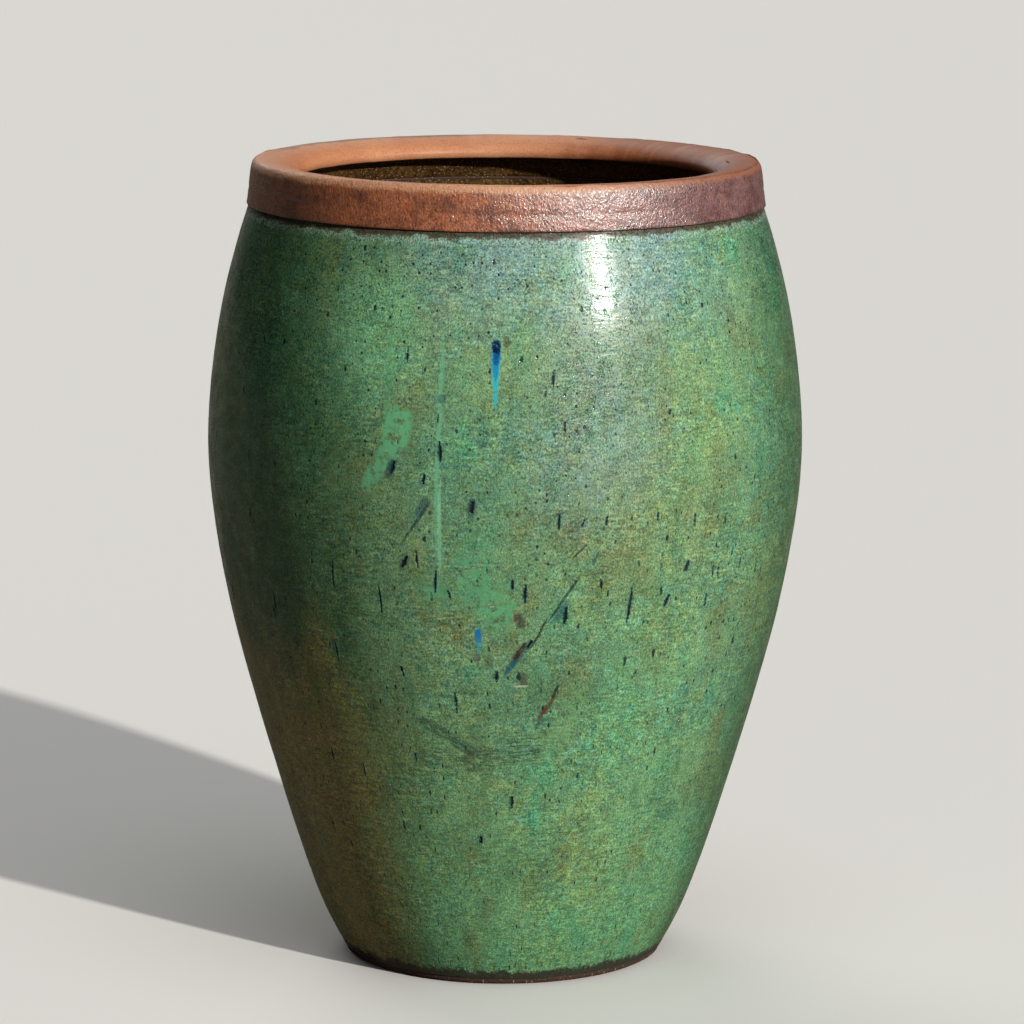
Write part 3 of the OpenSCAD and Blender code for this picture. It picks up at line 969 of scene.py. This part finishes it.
def rimClayFinish():
    finish, shader = newFinish("rim_clay")
    jar = aroundJar()
    place, laid, turn, height = jar["Place"], jar["Laid"], jar["Turn"], jar["Height"]
    cloud = noiseAt(laid, 0.03, 4.0, 0.6, 1.0, (1.0, 1.0, 1.6))
    broad = noiseAt(laid, 0.16, 3.0, 0.55, 2.0)
    fine = noiseAt(place, 0.0024, 3.0, 0.7, 3.0)
    drag = noiseAt(laid, 0.006, 3.0, 0.6, 4.0, (0.25, 0.25, 1.5))
    upright = noiseAt(laid, 0.006, 3.0, 0.6, 7.0, (1.0, 1.0, 0.25))
    colour = bands(broad,
                   [(0.30, tint(170, 108, 72)), (0.5, tint(190, 126, 88)), (0.7, tint(200, 140, 100))])
    # rust on the right-hand side of the back, with streaks running down
    rust = ramp(timesPlus(cloud, 60.0, turn), 200.0, 172.0)
    rust = times(rust, ramp(timesPlus(cloud, 30.0, turn), 8.0, 50.0))
    rust = times(rust, ramp(upright, 0.30, 0.55, 0.65, 1.0))
    colour = stained(colour, rust, 0.9, 134, 68, 30)
    # a pale cream band along the front of the crest is a painted highlight
    paintedCrestHighlight = times(ramp(cloud, 0.47, 0.60), mark(0.0, -8, 915, 90, 170, 60, 0.9))
    colour = stained(colour, paintedCrestHighlight, 0.6, 204, 172, 120)
    # slip that was wiped off the outer half of the crest at the back left
    wiped = times(ramp(turn, -95.0, -115.0), ramp(turn, -178.0, -166.0))
    wiped = times(wiped, ramp(timesPlus(cloud, 0.03, jar["Out"]), 0.280, 0.287))
    colour = stained(colour, wiped, 0.65, 104, 82, 66)
    colour = stained(colour, ramp(drag, 0.5, 0.75), 0.25, 128, 78, 50)
    colour = graded(colour, 1.0, fine, 0.32, (0.72, 0.68, 0.66), 0.7, (1.14, 1.13, 1.1))
    # the lip's underside and the neck carry the inside's wash
    under = ramp(jittered(height, (cloud, 0.003)), 0.8935, 0.8915)
    colour = blend(under, colour, washColour(jar))
    # brown glaze comes over the outer corner to a ragged line beside the crest
    glazed = ramp(jittered(jar["Out"], (cloud, 0.030), (fine, 0.008)), 0.2855, 0.2885)
    colour = blend(glazed, colour, rimBrown(jar, cloud))
    slit = ramp(put("ShaderNodeAttribute", attribute_name="slit").outputs["Fac"], 1.3, 0.8)
    colour = blend(slit, colour, tint(40, 22, 16))
    shine = minus(ramp(cloud, 0.3, 0.7, 0.48, 0.62), times(glazed, 0.26))
    shine = timesPlus(under, -0.18, shine)
    grit = noiseAt(place, 0.0036, 3.0, 0.7, 12.0)
    relief = piled(times(fine, 0.10), (drag, 0.12), (times(under, grit), 1.2),
                   (times(rimRelief(jar), glazed), 1.0), (slit, -0.8))
    dressed(shader, colour, shine, relief)
    return finish


def rimGlazeFinish():
    finish, shader = newFinish("rim_glaze")
    jar = aroundJar()
    laid, height = jar["Laid"], jar["Height"]
    cloud = noiseAt(laid, 0.03, 4.0, 0.6, 1.0, (1.0, 1.0, 1.6))
    colour = rimBrown(jar, cloud)
    # the lowest edge of the rim's face is darkened: painted shade where the rim overhangs the wall
    low = ramp(timesPlus(cloud, -0.008, height), 0.866, 0.860)
    colour = stained(colour, low, 0.85, 50, 28, 20)
    colour = blend(dots(jar["Flat"], 0.007, 0.0007, 0.5, 0.2), colour, tint(40, 18, 14))
    # it thins out over the corner until the clay shows through
    fine = noiseAt(jar["Place"], 0.0024, 3.0, 0.7, 3.0)
    line = minus(jittered(height, (cloud, 0.012), (fine, 0.010)), ramp(jar["Turn"], 0.0, 40.0, 0.0, 0.0025))
    thin = ramp(line, 0.9045, 0.9100)
    clayHere = blend(ramp(jar["Turn"], 0.0, 50.0), tint(206, 144, 100), tint(150, 86, 54))
    clayHere = blend(ramp(fine, 0.52, 0.36, 0.0, 0.5), clayHere, tint(120, 70, 44))
    colour = blend(times(thin, 0.92), colour, clayHere)
    dull = noiseAt(jar["Place"], 0.0026, 2.0, 0.6, 11.0)
    shine = timesPlus(thin, 0.25, ramp(dull, 0.42, 0.60, 0.20, 0.46))
    shader.inputs["IOR"].default_value = 2.1
    dressed(shader, colour, shine, rimRelief(jar))
    return finish


def makeRim():
    chance = random.Random(rim["seed"])
    loop = cadSection("rim_roll")
    middle = Vector(((min(p.x for p in loop) + max(p.x for p in loop)) / 2, cadBounds[1].z - 0.024))

    def onRoll(turn, side, z):
        # z is the way round the roll here: 0 is its outer face, 90 its crest and 180 its inner face
        around = math.radians(z)
        heading = Vector((math.cos(around), math.sin(around)))
        spot = max(loop, key=lambda p: (p - middle).normalized().dot(heading))
        angle = math.radians(turn) + side / spot.x
        return (spot.x * math.sin(angle), -spot.x * math.cos(angle), spot.y)
    dents = []
    for i in range(rim["dents"]):
        length = chance.choice((3, 4, 6, 9, 12)) * mm
        dents.append((chance.uniform(0, 360), chance.uniform(85, 185), 90 + chance.gauss(0, 10), length,
                      chance.uniform(1.6, 3.0) * mm))
    lines = slitLines("rim_dents", dents, onRoll, chance)
    makeRing("rim_roll_clay", "rim_roll", rimClayFinish(), rim, lines)
    makeRing("rim_face_glaze", "rim_glaze", rimGlazeFinish(), rimCoat)


# wash inside

wash = {
    "shown": "in", "fine": 7 * mm, "coarse": 30 * mm, "around": 260, "edgeRound": 0.4 * mm, "fade": 6 * mm,
    "shape": {**hand, "Lumps": 0.5 * mm, "Lump Size": 0.06, "Rings": 1.1 * mm,
              "Ring Spacing": 0.030}}


def washFinish():
    finish, shader = newFinish("inner_wash")
    jar = aroundJar()
    # its upper edge is dry and painted dark, like the body beside it: painted shade in the gap under the rim
    edge = ramp(jar["Height"], 0.8622, 0.8632)
    colour = blend(edge, washColour(jar), tint(46, 32, 24))
    grit = noiseAt(jar["Place"], 0.0036, 3.0, 0.7, 12.0)
    drag = noiseAt(jar["Laid"], 0.010, 3.0, 0.6, 3.0, (0.2, 0.2, 1.0))
    shine = timesPlus(edge, 0.5, ramp(grit, 0.3, 0.7, 0.20, 0.44))
    dressed(shader, colour, shine, timesPlus(grit, 1.2, times(drag, 0.4)))
    return finish


# clay body

clay = {
    "shown": "all", "fine": 14 * mm, "coarse": 14 * mm, "around": 180, "edgeRound": 0.5 * mm, "fade": 6 * mm,
    "shape": {**hand, "Lumps": 0.0, "Lump Size": 0.05, "Rings": 0.0,
              "Ring Spacing": 0.02}}
slab = {
    "shown": "all", "fine": 5 * mm, "coarse": 5 * mm, "around": 240, "edgeRound": 2.0 * mm, "fade": 8 * mm,
    "shape": {**hand, "Lumps": 0.35 * mm, "Lump Size": 0.03, "Rings": 0.0,
              "Ring Spacing": 0.02}}
coil = {
    "shown": "in", "fine": 4 * mm, "coarse": 8 * mm, "around": 240, "edgeRound": 0.5 * mm, "fade": 5 * mm,
    "shape": {**hand, "Lumps": 0.3 * mm, "Lump Size": 0.03, "Rings": 0.0,
              "Ring Spacing": 0.02}}


def clayFinish():
    finish, shader = newFinish("raw_clay")
    jar = aroundJar()
    place, laid, height = jar["Place"], jar["Laid"], jar["Height"]
    cloud = noiseAt(laid, 0.05, 4.0, 0.6, 1.0)
    grit = noiseAt(place, 0.0028, 3.0, 0.7, 2.0)
    colour = bands(cloud, [(0.3, tint(150, 104, 76)), (0.5, tint(172, 124, 92)), (0.7, tint(188, 142, 108))])
    # fired dark where the body shows beside the glaze, at the foot and under the rim; in the seams under the
    # rim this is also painted shade
    burntAndShaded = larger(ramp(height, 0.838, 0.856), ramp(height, 0.060, 0.030))
    burntAndShaded = times(burntAndShaded, ramp(jar["Out"], 0.165, 0.176))
    colour = stained(colour, burntAndShaded, 0.88, 52, 36, 34)
    colour = graded(colour, 1.0, grit, 0.3, (0.62, 0.6, 0.58), 0.7, (1.2, 1.18, 1.15))
    grains = dots(jar["Flat"], 0.007, 0.0011, 0.6, 0.2)
    colour = stained(colour, grains, 0.6, 204, 178, 146)
    shader.inputs["Roughness"].default_value = 0.85
    dressed(shader, colour, None, piled(times(grit, 0.4), (grains, 0.3)))
    return finish


makeJade()
makeRim()
makeRing("inner_wash_coat", "inner_wash", washFinish(), wash)
bareClay = clayFinish()
makeRing("floor_slab_clay", "floor_slab", bareClay, slab)
makeRing("corner_coil_clay", "corner_coil", bareClay, coil)
for stage in ("lower_wall", "middle_wall", "upper_wall"):
    makeRing(stage + "_clay", stage, bareClay, clay)
print("jar: pieces made")


# floor, light and camera

studio = {
    "floorSeen": (0.80, 0.79, 0.77, 1.0), "floorFelt": (0.15, 0.135, 0.11, 1.0), "floorReach": 40.0,
    "floorHeight": -0.0003,
    "keyTurn": 41, "keyRise": 23, "keyWidth": 1.8, "keyStrength": 3.5, "keyColour": (1.0, 0.965, 0.90),
    "topStrength": 0.5, "backStrength": 0.9, "skyStrength": 0.13,
    "lens": 166.0, "eye": (0.0, -5.33, 1.466), "lookDown": 10.18, "lookAside": -0.09, "roll": 0.33}


def makeFloor():
    mesh = bpy.data.meshes.new("floor")
    reach, level = studio["floorReach"], studio["floorHeight"]  # a hair under the foot
    corners = [(-reach, -reach, level), (reach, -reach, level), (reach, reach, level),
               (-reach, reach, level)]
    mesh.from_pydata(corners, [], [(0, 1, 2, 3)])
    floor = placed("floor", mesh)
    finish, shader = newFinish("floor")
    # pale to look at, but it throws little light back up at the jar
    seen = put("ShaderNodeLightPath").outputs["Is Camera Ray"]
    colour = blend(seen, studio["floorFelt"], studio["floorSeen"])
    bench["tree"].links.new(colour, shader.inputs["Base Color"])
    shader.inputs["Roughness"].default_value = 0.9
    shader.inputs["Specular IOR Level"].default_value = 0.1
    mesh.materials.append(finish)


def distantLamp(name, turn, rise, width, strength, colour):
    # a lamp far away, this many degrees wide, at a turn from the front and a rise over the ground
    data = bpy.data.lights.new(name, "SUN")
    data.angle = math.radians(width)
    data.energy = strength
    data.color = colour
    lamp = placed(name, data)
    turn, rise = math.radians(turn), math.radians(rise)
    back = Vector((math.sin(turn) * math.cos(rise), -math.cos(turn) * math.cos(rise), math.sin(rise)))
    lamp.location = back * 4
    lamp.rotation_euler = back.to_track_quat("Z", "Y").to_euler()


def makeSky():
    # pale all round for the camera; as light it is dim on the left and brighter about the key lamp
    world = bpy.data.worlds.new("studio")
    bpy.context.scene.world = world
    world.use_nodes = True
    tree = opened(world.node_tree)
    tree.nodes.clear()
    heading = put("ShaderNodeTexCoord").outputs["Generated"]

    def towards(x, y, z):
        aim = Vector((x, y, z)).normalized()
        return vectorMaths("DOT_PRODUCT", heading, aim, result="Value")
    dark = larger(ramp(towards(-1.0, 0.05, 0.05), 0.30, 0.80),
                  times(ramp(towards(1.0, 0.7, 0.0), 0.4, 0.8), 0.6))
    glow = ramp(towards(0.55, -0.68, 0.62), 0.0, 1.0, 0.8, 1.3)
    halo = ramp(towards(0.59, -0.68, 0.50), 0.72, 1.0, 0.0, 2.2)
    strength = times(plus(glow, halo), ramp(dark, 0.0, 1.0, 1.0, 0.05))
    strength = times(strength, studio["skyStrength"])
    light = put("ShaderNodeBackground", {"Color": (0.90, 0.96, 1.0, 1), "Strength": strength})
    seen = put("ShaderNodeBackground", {"Color": (0.62, 0.62, 0.61, 1), "Strength": 1.0})
    path = put("ShaderNodeLightPath").outputs["Is Camera Ray"]
    both = put("ShaderNodeMixShader", {0: path, 1: light.outputs[0], 2: seen.outputs[0]})
    put("ShaderNodeOutputWorld", {"Surface": both.outputs[0]})


def makeCamera():
    data = bpy.data.cameras.new("camera")
    data.sensor_width = 36.0
    data.lens = studio["lens"]
    camera = placed("camera", data)
    camera.location = studio["eye"]
    aim = Euler((math.radians(90 - studio["lookDown"]), 0, math.radians(studio["lookAside"]))).to_matrix()
    roll = Euler((0, 0, math.radians(studio["roll"]))).to_matrix()
    camera.rotation_euler = (aim @ roll).to_euler()
    bpy.context.scene.camera = camera


makeFloor()
distantLamp("key", studio["keyTurn"], studio["keyRise"], studio["keyWidth"], studio["keyStrength"],
            studio["keyColour"])
distantLamp("top", 15, 78, 40, studio["topStrength"], (1, 1, 1))
distantLamp("back", 200, 32, 40, studio["backStrength"], (1.0, 0.97, 0.93))
makeSky()
makeCamera()
bpy.context.scene.view_settings.view_transform = "Standard"
print("jar: studio ready")
